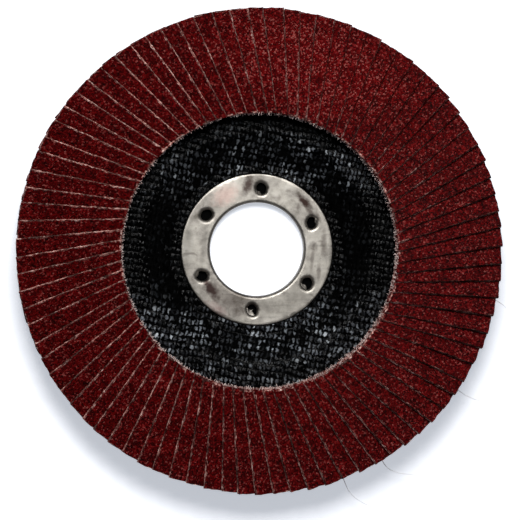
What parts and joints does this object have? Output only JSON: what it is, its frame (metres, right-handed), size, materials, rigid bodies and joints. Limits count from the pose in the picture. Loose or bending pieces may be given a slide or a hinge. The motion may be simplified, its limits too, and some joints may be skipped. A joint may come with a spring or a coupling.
{
  "type": "flap disc",
  "caption": "Grinder flap disc: overlapping abrasive cloth flaps bonded in a ring on a dished glass-fibre plate with a steel-lined bore.",
  "frame": {"origin": "on the bore's axis, in the plane of the hub's back face, which the disc stands on", "axes": "+Z along the bore, towards the abrasive side; the flaps' free edges face clockwise seen from +Z"},
  "size_m": [0.115, 0.115, 0.0154],
  "materials": {
    "laminate": "gloss",
    "steel": "satin",
    "epoxy": "satin",
    "abrasive_cloth": "matte"
  },
  "bodies": {
    "root": {"backing_plate": "laminate", "arbor_ring": "steel", "adhesive_bed": "epoxy", "flap_pair_01": "abrasive_cloth", "flap_pair_02": "abrasive_cloth", "flap_pair_03": "abrasive_cloth", "flap_pair_04": "abrasive_cloth", "flap_pair_05": "abrasive_cloth", "flap_pair_06": "abrasive_cloth", "flap_pair_07": "abrasive_cloth", "flap_pair_08": "abrasive_cloth", "flap_pair_09": "abrasive_cloth", "flap_pair_10": "abrasive_cloth", "flap_pair_11": "abrasive_cloth", "flap_pair_12": "abrasive_cloth", "flap_pair_13": "abrasive_cloth", "flap_pair_14": "abrasive_cloth", "flap_pair_15": "abrasive_cloth", "flap_pair_16": "abrasive_cloth", "flap_pair_17": "abrasive_cloth", "flap_pair_18": "abrasive_cloth", "flap_pair_19": "abrasive_cloth", "flap_pair_20": "abrasive_cloth", "flap_pair_21": "abrasive_cloth", "flap_pair_22": "abrasive_cloth", "flap_pair_23": "abrasive_cloth", "flap_pair_24": "abrasive_cloth", "flap_pair_25": "abrasive_cloth", "flap_pair_26": "abrasive_cloth", "flap_pair_27": "abrasive_cloth", "flap_pair_28": "abrasive_cloth", "flap_pair_29": "abrasive_cloth", "flap_pair_30": "abrasive_cloth", "flap_pair_31": "abrasive_cloth", "flap_pair_32": "abrasive_cloth", "flap_pair_33": "abrasive_cloth", "flap_pair_34": "abrasive_cloth", "flap_pair_35": "abrasive_cloth", "flap_pair_36": "abrasive_cloth", "flap_pair_37": "abrasive_cloth", "flap_pair_38": "abrasive_cloth", "flap_pair_39": "abrasive_cloth", "flap_pair_40": "abrasive_cloth", "flap_pair_41": "abrasive_cloth", "flap_pair_42": "abrasive_cloth", "flap_pair_43": "abrasive_cloth"}
  },
  "joints": []
}
